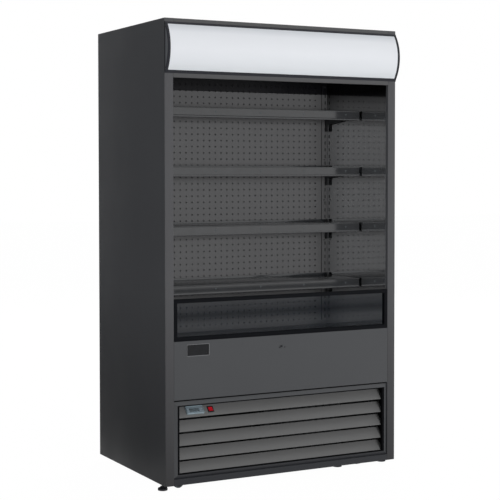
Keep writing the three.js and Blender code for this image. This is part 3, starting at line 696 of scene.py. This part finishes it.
def railOutline(z):
    back, flat = shelves["railBack"], shelves["railFront"] + shelves["flat"]
    outline = [(back, z + shelves["railTop"]), (flat, z + shelves["railTop"])]
    outline += lipOutline(z - shelves["gripDrop"], shelves["gripHalf"])
    outline += [(flat, z - shelves["flatTop"]), (flat, z - shelves["flatLow"])]
    outline += lipOutline(z - shelves["footDrop"], shelves["footHalf"])
    return outline + [(flat, z - shelves["railLow"]), (back, z - shelves["railLow"])]


def buildShelves():
    flat = shelves["railFront"] + shelves["flat"]
    root, face = flat - shelves["clipRoot"], flat + shelves["clipRise"]
    for index, z in enumerate(shelves["heights"], 1):
        body = f"shelf_{index}"
        node, edge = f"shelf_tray_{index}", shelves["edge"]
        plainPiece(node, edge, f"shelfTray_{index}", body, "shelfPaint")

        bm = bmesh.new()
        sweepAlongX(bm, railOutline(z), -shelves["railX"], shelves["railX"])
        for x in shelves["clips"]:  # each clip is a bar with a stem
            for half, low, high in shelves["clipBars"]:
                blockAt(bm, (x - half, root, z - low), (x + half, face, z - high), shelves["clipEdge"], 1, 1)
        finishPiece(
            bm, f"priceRail_{index}", body,
            ["tagPlastic", "castGrey"], f"ticket_strip_{index}", 25,
        )

        node = f"shelf_bracket_frame_{index}"
        plainPiece(node, edge, f"shelfBrackets_{index}", body, "bracketPaint", 1)


buildShelves()
print("shelves built")


# low front glass, insulated lower panel and bare badge
front = {
    "face": -0.361, "halfWidth": 0.5472, "frameBar": 0.017, "frameEdge": 0.0012, "glassEdge": 0.001,
    "sealInset": 0.0145, "sealFront": -0.3512, "sealBack": -0.3435, "sealBar": 0.0035,
    "panelLow": 0.3995, "panelHigh": 0.6527, "panelBack": -0.331, "panelEdge": 0.0015,
    "catchX": -0.016, "catchZ": 0.598, "catchHalf": (0.016, 0.005), "catchRise": 0.0008, "catchRoot": 0.001,
    "catchEdge": 0.0004, "catchScrewX": 0.0126, "catchScrewRoot": 0.0006, "catchScrew": (0.003, 0.0014),
    "hookX": (-0.0085, -0.0025),
    "hook": [  # forward from the middle of the catch and then up
        (0.0, 0.0018), (-0.0068, 0.0018), (-0.008, 0.0028), (-0.008, 0.0096),
        (-0.0065, 0.0096), (-0.0065, 0.0038), (0.0, 0.0038),
    ],
    "badgeCorner": 0.004, "badgeRim": 0.0015, "badgeSink": 0.0006,
}


def buildFrontGlass():
    low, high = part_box("front_glass_frame")
    bm = bmesh.new()
    ringFrame(bm, tuple(low), tuple(high), front["frameBar"])
    faceOutward(bm)
    bevelEdges(bm, sharpEdges(bm), front["frameEdge"])
    inset = front["sealInset"]
    sealLow = (low.x + inset, front["sealFront"], low.z + inset)
    sealHigh = (high.x - inset, front["sealBack"], high.z - inset)
    ringFrame(bm, sealLow, sealHigh, front["sealBar"], 1)
    finishPiece(bm, "glassFrame", "cabinet", ["blackFrame", "rubber"], "front_glass_frame")

    paneLow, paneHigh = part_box("front_glass")
    bm = bmesh.new()
    blockAt(bm, paneLow, paneHigh, front["glassEdge"])
    finishPiece(bm, "glassPane", "cabinet", ["frontGlass"], "front_glass")


def buildLowerPanel():
    face, wide, x, z = front["face"], front["halfWidth"], front["catchX"], front["catchZ"]
    halfX, halfZ = front["catchHalf"]
    bm = bmesh.new()
    panelLow, panelHigh = (-wide, face, front["panelLow"]), (wide, front["panelBack"], front["panelHigh"])
    blockAt(bm, panelLow, panelHigh, front["panelEdge"], 3)
    plateLow = (x - halfX, face - front["catchRise"], z - halfZ)
    plateHigh = (x + halfX, face + front["catchRoot"], z + halfZ)
    blockAt(bm, plateLow, plateHigh, front["catchEdge"])
    hook = [(face + out, z + up) for out, up in front["hook"]]
    sweepAlongX(bm, hook, x + front["hookX"][0], x + front["hookX"][1], 1)
    for shift in (-front["catchScrewX"], front["catchScrewX"]):
        base = (x + shift, face - front["catchScrewRoot"], z)
        screwHead(bm, base, (0, -1, 0), *front["catchScrew"], 1)
    finishPiece(
        bm, "lowerPanel", "cabinet", ["panelPaint", "blackPlastic"], "front_lower_panel",
    )


def buildBadge():
    low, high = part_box("badge_plate")
    bm = bmesh.new()
    middle = Matrix.Translation(((low.x + high.x) / 2, high.y, (low.z + high.z) / 2))
    corners = paneAt(bm, middle @ standUp, high.x - low.x, high.z - low.z)
    bmesh.ops.bevel(
        bm, geom=corners, offset=front["badgeCorner"], segments=5, profile=0.5,
        affect="VERTICES", material=-1,
    )
    thicken(bm, bm.faces[:], (0, low.y - high.y, 0))
    faceOutward(bm)
    top = min(bm.faces, key=lambda f: f.calc_center_median().y)
    insetFace(bm, top, front["badgeRim"])
    top.material_index = 1
    bmesh.ops.translate(bm, vec=(0, front["badgeSink"], 0), verts=top.verts)
    finishPiece(bm, "badgePlate", "cabinet", ["badgeRim", "badgeEnamel"], "badge_plate")


buildFrontGlass()
buildLowerPanel()
buildBadge()
print("front built")


# louvred grille over the machine compartment
grille = {
    "low": 0.060, "high": 0.393, "bar": 0.017, "deep": 0.016, "slope": 0.009, "edge": 0.0008,
    "slats": 5, "pitch": 0.06025, "slatFront": -0.3473, "slatTop": 0.3204, "slatX": 0.534,
    "run": 0.043, "rise": 0.045, "length": 0.0585, "sheet": 0.002,
    "hem": 0.0016, "hemStart": 0.0015, "hemLength": 0.004,
    "backLow": (-0.5295, -0.3575, 0.0725), "backHigh": (0.5295, -0.3465, 0.3805), "backBar": 0.009,
    "endFront": -0.346, "endLow": 0.076, "endHalf": 0.001,
    "staysX": (-0.494, 0.0, 0.494), "stayHalf": 0.008, "stayLow": 0.08, "stayHigh": 0.3654,
    "stayBefore": 0.002, "stayBehind": 0.003, "stayEdge": 0.0005, "near": 0.001,
}
slatAngle = math.atan2(grille["rise"], grille["run"])


def slatOutline(drop):
    start, hem = Vector((grille["slatFront"], grille["slatTop"] - drop)), grille["hem"]
    along = Vector((math.cos(slatAngle), math.sin(slatAngle)))
    inward = Vector((math.sin(slatAngle), -math.cos(slatAngle)))
    nose = start + along * grille["hemStart"] + inward * hem
    hemBack = nose + along * grille["hemLength"]
    roll = []
    for degrees in range(0, 181, 30):  # rolled hem along the front edge
        turn = math.radians(degrees)
        roll.append(nose - along * hem * math.sin(turn) - inward * hem * math.cos(turn))
    top, sheet = start + along * grille["length"], grille["sheet"]
    ends = [hemBack + inward * hem, hemBack + inward * (sheet - hem), top + inward * sheet]
    return [tuple(point) for point in [top] + roll + ends]


def buildGrille():
    wide, face = front["halfWidth"], front["face"]
    low, high, bar = grille["low"], grille["high"], grille["bar"]
    bm = bmesh.new()
    ringFrame(bm, (-wide, face, low), (wide, face + grille["deep"], high), bar)
    faceOutward(bm)
    near = grille["near"]
    for vert in bm.verts:  # the bars' outer edges lie deeper, so each bar has a sloped face
        outer = abs(vert.co.x) > wide - near or vert.co.z < low + near or vert.co.z > high - near
        if outer and vert.co.y < face + near:
            vert.co.y += grille["slope"]
    bevelEdges(bm, sharpEdges(bm, 40), grille["edge"])
    innerX, innerTop = wide - bar + near, high - bar + near
    for item in bm.faces:  # the top and side bars are as pale as the panel; the lower bar is darker, painted shade for a bar that faces down
        middle = item.calc_center_median()
        item.material_index = 3 if middle.z > innerTop or abs(middle.x) > innerX else 2
    # a dark ring behind the bars and dark end plates: painted shade at the slats' ends
    ringFrame(bm, grille["backLow"], grille["backHigh"], grille["backBar"], 1)
    for index in range(grille["slats"]):
        sweepAlongX(bm, slatOutline(index * grille["pitch"]), -grille["slatX"], grille["slatX"])
    depth = grille["slatFront"] + grille["run"]
    half = grille["endHalf"]
    for x in (-grille["slatX"], grille["slatX"]):
        blockAt(bm, (x - half, grille["endFront"], grille["endLow"]), (x + half, depth, high), slot=1)
    half = grille["stayHalf"]
    for x in grille["staysX"]:
        stayLow = (x - half, depth - grille["stayBefore"], grille["stayLow"])
        stayHigh = (x + half, depth + grille["stayBehind"], grille["stayHigh"])
        blockAt(bm, stayLow, stayHigh, grille["stayEdge"], 1, 1)
    finishPiece(
        bm, "louvreGrille", "cabinet",
        ["slatPaint", "shadowBlack", "barPaint", "panelPaint"], "louver_grille",
    )


buildGrille()
print("grille built")


# controller with its clear cover, and the rocker switch, both on the top slat
controls = {  # a slab is given as its size, low, high, corner, finish and edge
    "controllerX": -0.434, "controllerUp": 0.0325,
    "bezel": ((0.076, 0.032), 0.0003, 0.0025, 0.003, 0, 0.0006),
    "body": ((-0.035, -0.013, -0.045), (0.035, 0.013, 0.001), 0.001),
    "display": ((0.0476, 0.0175), 0.0024, 0.003, 0.0012, 1, 0.0002), "displayAt": (-0.0008, 0.001),
    "key": ((0.0042, 0.0062), 0.0024, 0.0033, 0.001, 2, 0.0003),
    "keysX": (-0.031, 0.0285, 0.0345), "keysY": (-0.0065, 0.0065),
    "cover": ((0.084, 0.039), 0.0006, 0.011, 0.003, 0, 0.0012), "wall": 0.0018,
    "pinInset": 0.008, "pinHalf": 0.004, "pinUp": 0.0016, "pinZ": 0.0022, "pinRadius": 0.0015,
    "switchX": -0.357, "switchUp": 0.0305, "switch": ((0.028, 0.031), 0.0003, 0.003, 0.002, 0, 0.0006),
    "switchRim": 0.0026, "well": 0.011, "rockerHalf": 0.01, "rockerEdge": 0.0006,
    "foot": 0.008, "footLow": -0.0035, "nose": 0.0112, "noseLow": 0.0024, "noseRise": 0.0048,
}


def onSlat(x, up):  # from a flat drawing to the face of the top slat
    y = grille["slatFront"] + math.cos(slatAngle) * up
    z = grille["slatTop"] + math.sin(slatAngle) * up
    return Matrix.Translation((x, y, z)) @ Matrix.Rotation(slatAngle, 4, "X")


def roundedSlab(bm, centre, size, z0, z1, corner, slot=0, edge=0.0):  # a slab with round corners, lying flat
    corners = paneAt(bm, Matrix.Translation((centre[0], centre[1], z0)), size[0], size[1])
    base = corners[0].link_faces[0]
    base.material_index = slot
    before = set(bm.faces) - {base}
    bmesh.ops.bevel(bm, geom=corners, offset=corner, segments=4, profile=0.5, affect="VERTICES", material=-1)
    base = next(f for f in bm.faces if f not in before)
    made = thicken(bm, [base], (0, 0, z1 - z0))
    if edge:
        top = next(item for item in made if isinstance(item, bmesh.types.BMFace))
        bevelEdges(bm, list(top.edges), edge)


def hollow(bm, face, wall, offset):  # a pocket with a wall left round it
    insetFace(bm, face, wall)
    made = bmesh.ops.extrude_discrete_faces(bm, faces=[face])["faces"]
    bmesh.ops.translate(bm, vec=(0, 0, offset), verts=made[0].verts)


def buildController(place):
    bm = bmesh.new()
    roundedSlab(bm, (0, 0), *controls["bezel"])
    blockAt(bm, *controls["body"], 2, 3)
    roundedSlab(bm, controls["displayAt"], *controls["display"])
    for x in controls["keysX"]:
        for y in controls["keysY"]:
            roundedSlab(bm, (x, y), *controls["key"])
    placeAll(bm, place)
    finishPiece(
        bm, "controllerBody", "cabinet",
        ["controllerCase", "displayWindow", "keyPlastic", "blackPlastic"], "controller_body",
    )


def buildCover(place):
    (wide, tall), low, deep = controls["cover"][:3]
    bm = bmesh.new()
    roundedSlab(bm, (0, 0), *controls["cover"])
    faceOutward(bm)
    mouth = min(bm.faces, key=lambda f: f.calc_center_median().z)
    hollow(bm, mouth, controls["wall"], deep - controls["wall"] - low)
    half, y, z = controls["pinHalf"], controls["pinUp"] - tall / 2, controls["pinZ"]
    for sign in (-1, 1):
        x = sign * (wide / 2 - controls["pinInset"])
        rodBetween(bm, (x - half, y, z), (x + half, y, z), controls["pinRadius"], 12, 1)
    bm.normal_update()
    for face in bm.faces:
        if face.material_index == 0 and abs(face.normal.z) < 0.9:
            face.material_index = 2
    placeAll(bm, place)
    finishPiece(
        bm, "controllerCover", "controller_cover",
        ["clearPlastic", "zinc", "clearWall"], "controller_cover",
    )


def buildSwitch(place):
    bm = bmesh.new()
    roundedSlab(bm, (0, 0), *controls["switch"])
    faceOutward(bm)
    top = max(bm.faces, key=lambda f: f.calc_center_median().z)
    hollow(bm, top, controls["switchRim"], -controls["well"])
    placeAll(bm, place)
    finishPiece(bm, "switchBody", "cabinet", ["blackPlastic"], "switch_body")

    bm = bmesh.new()
    foot, nose, low, rise = (controls[key] for key in ("foot", "nose", "noseLow", "noseRise"))
    rocker = [(-foot, controls["footLow"]), (foot, controls["footLow"]), (nose, low)]
    for step in range(1, 8):  # hollow top face of the rocker
        part = step / 8
        rocker.append((nose - 2 * nose * part, low + rise * part - low * math.sin(math.pi * part) * 0.5))
    rocker.append((-nose, low + rise))
    sweepAlongX(bm, rocker, -controls["rockerHalf"], controls["rockerHalf"])
    faceOutward(bm)
    bevelEdges(bm, sharpEdges(bm, 50), controls["rockerEdge"])
    placeAll(bm, place)
    finishPiece(bm, "switchRocker", "switch_rocker", ["redLens"], "switch_rocker")


controllerPlace = onSlat(controls["controllerX"], controls["controllerUp"])
buildController(controllerPlace)
buildCover(controllerPlace)
buildSwitch(onSlat(controls["switchX"], controls["switchUp"]))
print("controls built")


# levelling feet and casters
ground = {
    "feet": {"left": (-0.566, 0.0006), "middle": (0.3225, 0.0106), "right": (0.566, 0.0106)}, "footY": -0.282,
    "padRadius": 0.0213, "padHeight": 0.0174, "threadPitch": 0.0025, "threadDepth": 0.0006,
    "stemRadius": 0.0055, "stemTop": 0.098,
    "casters": {
        "front_left": (-0.458, -0.270, math.pi / 2), "front_right": (0.458, -0.270, 0.0),
        "rear_left": (-0.458, 0.300, math.pi / 2), "rear_right": (0.458, 0.300, 0.0),
    },
    "forkEdge": 0.0004, "trail": 0.030, "wheelRadius": 0.025, "halfTread": 0.010, "dish": 0.003,
    "boreRadius": 0.0034, "nutRadius": 0.0048, "nutFrom": 0.0134, "nutTo": 0.0158, "nutEdge": 0.0005,
    "hub": (0.008, 0.0084), "rim": (0.0176, 0.018), "tyreFrom": 0.0178,
}


def footOutline():
    pad, stem, height = ground["padRadius"], ground["stemRadius"], ground["padHeight"]
    line = [(0, 0), (pad - 0.0015, 0), (pad - 0.0004, 0.0004), (pad, 0.0015), (pad, 0.0078)]
    line += [(pad - 0.0004, 0.0092), (pad - 0.0014, 0.0106), (pad - 0.0036, 0.0114)]
    line += [(0.0125, 0.0124), (0.0114, 0.0134), (0.0108, height - 0.0006), (0.0102, height), (stem, height)]
    while height < ground["stemTop"] - 0.004:  # thread ridges
        line += [(stem - ground["threadDepth"], height + 0.0008), (stem, height + 0.0018)]
        height += ground["threadPitch"]
    return line + [(stem - 0.001, ground["stemTop"]), (0, ground["stemTop"])]


def buildFeet():
    for place, (x, lift) in ground["feet"].items():
        bm = bmesh.new()
        spunAbout(bm, footOutline(), 28)
        for face in bm.faces:
            face.material_index = 1 if face.calc_center_median().z > ground["padHeight"] + 0.0002 else 0
        bmesh.ops.translate(bm, vec=(x, ground["footY"], lift), verts=bm.verts)
        finishPiece(
            bm, f"levellingFoot_{place}", f"levelling_foot_{place}",
            ["blackPlastic", "zinc"], f"levelling_foot_{place}",
        )


def wheelOutline():  # bore, hub, dished web and tread on one side, and back along the other
    radius, half = ground["wheelRadius"], ground["halfTread"]
    (hub, hubFoot), (rimFoot, rim), inner = ground["hub"], ground["rim"], half - ground["dish"]
    side = [
        (ground["boreRadius"], half), (hub, half), (hubFoot, inner), (rimFoot, inner), (rim, half),
        (radius - 0.002, half), (radius - 0.0007, half - 0.0007), (radius, half - 0.002),
    ]
    return [(r, -z) for r, z in side] + side[::-1] + [(ground["boreRadius"], -half)]


def buildCasters():
    radius, trail = ground["wheelRadius"], ground["trail"]
    for place, (x, y, turn) in ground["casters"].items():
        put = Matrix.Translation((x, y, 0)) @ Matrix.Rotation(turn, 4, "Z")
        bm = softenedCopy(f"caster_fork_{place}", ground["forkEdge"], 1)
        for sign in (-1, 1):
            start = put @ Vector((sign * ground["nutFrom"], trail, radius))
            end = put @ Vector((sign * ground["nutTo"], trail, radius))
            rodBetween(bm, start, end, ground["nutRadius"], 6, 0, ground["nutEdge"])
        finishPiece(bm, f"casterFork_{place}", f"caster_{place}", ["zinc"], f"caster_fork_{place}")

        bm = bmesh.new()
        spunAbout(bm, wheelOutline(), 40)
        for face in bm.faces:
            middle = face.calc_center_median()
            face.material_index = 0 if math.hypot(middle.x, middle.y) > ground["tyreFrom"] else 1
        lay = Matrix.Translation((0, trail, radius)) @ Matrix.Rotation(math.pi / 2, 4, "Y")
        placeAll(bm, put @ lay)
        finishPiece(
            bm, f"casterWheel_{place}", f"wheel_{place}",
            ["castGrey", "blackPlastic"], f"caster_wheel_{place}",
        )


buildFeet()
buildCasters()
print("feet and casters built")


# finishes for the CAD nodes that stay
kept = {
    "insulated_floor": "frontPaint", "side_liner_left": "mirrorSteel", "side_liner_right": "mirrorSteel",
    "ceiling_panel": "ductPaint", "air_curtain_honeycomb": "blackPlastic", "canopy_light_tube": "lampGlass",
    "compressor": "compressorPaint", "condenser_coil": "compressorPaint",
    "condenser_fan_blade": "blackPlastic", "evaporator_coil": "finStock", "evaporator_fan_plate": "finStock",
    "evaporator_fan_blade_left": "blackPlastic", "evaporator_fan_blade_right": "blackPlastic",
}
for node, key in kept.items():
    for holder in cadNodes[node].material_slots:
        holder.material = finishes[key]


# studio
studio = {
    "worldLight": 0.42, "worldTint": (0.97, 0.985, 1.0, 1),
    "floorTone": (0.4, 0.4, 0.4, 1), "floorWhite": 0.96, "floorGlow": 1.03, "floorSize": 60, "flagTone": 0.12,
}
lamps = {  # power, place, size and what it points at
    "softKey": (335.0, (0.4, -7.2, 1.5), (3.2, 1.2), (0, -0.2, 1.0)),
    "backFill": (330.0, (4.5, 5.5, 5.0), (3.0, 3.0), (0, 0, 1.0)),
}
cameraTurn = Matrix.Rotation(math.radians(-28), 4, "Z")
flags = {  # place and size of the dim planes that keep the sheen of dark paint low
    "leftFlag": (Matrix.Translation((-3.0, 6.0, 2.5)) @ Matrix.Rotation(math.pi / 2, 4, "Y"), (5.2, 18.0)),
    "leftGroundFlag": (Matrix.Translation((-1.85, 6.0, 0.002)), (2.3, 12.0)),
    "cameraFlag": (Matrix.Translation((-3.6, -6.8, 1.4)) @ cameraTurn @ standUp, (2.4, 3.4)),
}


def clearTree(owner):  # the emptied node tree of a new material or world
    owner.use_nodes = True
    owner.node_tree.nodes.clear()
    return owner.node_tree


def seenRays(tree, amount):  # camera, glossy and transmission rays see the white background
    path = tree.nodes.new("ShaderNodeLightPath")
    seen = path.outputs["Is Camera Ray"]
    for ray in ("Is Glossy Ray", "Is Transmission Ray"):
        either = tree.nodes.new("ShaderNodeMath")
        either.operation = "MAXIMUM"
        tree.links.new(seen, either.inputs[0])
        tree.links.new(path.outputs[ray], either.inputs[1])
        seen = either.outputs[0]
    scale = tree.nodes.new("ShaderNodeMath")
    scale.operation = "MULTIPLY"
    scale.inputs[1].default_value = amount
    tree.links.new(seen, scale.inputs[0])
    return scale.outputs[0]


def mixBySight(tree, amount, unseen, seen, outputKind):  # one shader for light and one for what is seen
    mix = tree.nodes.new("ShaderNodeMixShader")
    output = tree.nodes.new(outputKind)
    tree.links.new(seenRays(tree, amount), mix.inputs[0])
    tree.links.new(unseen.outputs[0], mix.inputs[1])
    tree.links.new(seen.outputs[0], mix.inputs[2])
    tree.links.new(mix.outputs[0], output.inputs[0])


def buildWorld():
    world = bpy.data.worlds.new("studioWorld")
    bpy.context.scene.world = world
    tree = clearTree(world)
    light = tree.nodes.new("ShaderNodeBackground")
    light.inputs["Color"].default_value = studio["worldTint"]
    light.inputs["Strength"].default_value = studio["worldLight"]
    white = tree.nodes.new("ShaderNodeBackground")
    white.inputs["Color"].default_value = (1, 1, 1, 1)
    mixBySight(tree, 1.0, light, white, "ShaderNodeOutputWorld")


def stagePlane(name, place, size, finish):
    bm = bmesh.new()
    paneAt(bm, place, size[0], size[1])
    mesh = bpy.data.meshes.new(name)
    bm.to_mesh(mesh)
    bm.free()
    mesh.materials.append(finish)
    plane = bpy.data.objects.new(name, mesh)
    bpy.context.scene.collection.objects.link(plane)
    return plane


def buildFloor():
    pale = bpy.data.materials.new("paleFloor")
    tree = clearTree(pale)
    matt = tree.nodes.new("ShaderNodeBsdfDiffuse")
    matt.inputs["Color"].default_value = studio["floorTone"]
    white = tree.nodes.new("ShaderNodeEmission")
    white.inputs["Strength"].default_value = studio["floorGlow"]
    mixBySight(tree, studio["floorWhite"], matt, white, "ShaderNodeOutputMaterial")
    stagePlane("studioFloor", Matrix.Identity(4), (studio["floorSize"], studio["floorSize"]), pale)


def buildFlags():
    dim = bpy.data.materials.new("dimFlag")
    tree = clearTree(dim)
    tone = tree.nodes.new("ShaderNodeEmission")
    tone.inputs["Strength"].default_value = studio["flagTone"]
    output = tree.nodes.new("ShaderNodeOutputMaterial")
    tree.links.new(tone.outputs[0], output.inputs[0])
    for name, (place, size) in flags.items():
        flag = stagePlane(name, place, size, dim)
        flag.visible_camera = flag.visible_diffuse = False
        flag.visible_transmission = flag.visible_shadow = False


def buildLamp(name, power, place, size, aim):
    lamp = bpy.data.lights.new(name, "AREA")
    lamp.shape = "RECTANGLE"
    lamp.size, lamp.size_y = size
    lamp.energy = power
    holder = bpy.data.objects.new(name, lamp)
    holder.location = place
    holder.rotation_euler = (Vector(aim) - Vector(place)).to_track_quat("-Z", "Y").to_euler()
    holder.visible_glossy = holder.visible_transmission = False
    bpy.context.scene.collection.objects.link(holder)


camera = {
    "place": (-2.9014, -5.472, 1.3742), "yaw": 28.0502, "pitch": -2.0322, "roll": 0.044, "lens": 95.004,
    "sensor": 36.0, "shift": -0.06,
}


def buildCamera():
    lens = bpy.data.cameras.new("photoCamera")
    lens.lens = camera["lens"]
    lens.sensor_width = camera["sensor"]
    lens.shift_y = camera["shift"]
    holder = bpy.data.objects.new("photoCamera", lens)
    holder.location = camera["place"]
    angles = (90 + camera["pitch"], camera["roll"], -camera["yaw"])
    holder.rotation_euler = [math.radians(angle) for angle in angles]
    bpy.context.scene.collection.objects.link(holder)
    bpy.context.scene.camera = holder


buildWorld()
buildFloor()
buildFlags()
for name, values in lamps.items():
    buildLamp(name, *values)
buildCamera()
bpy.context.scene.view_settings.view_transform = "Standard"
print("studio ready")
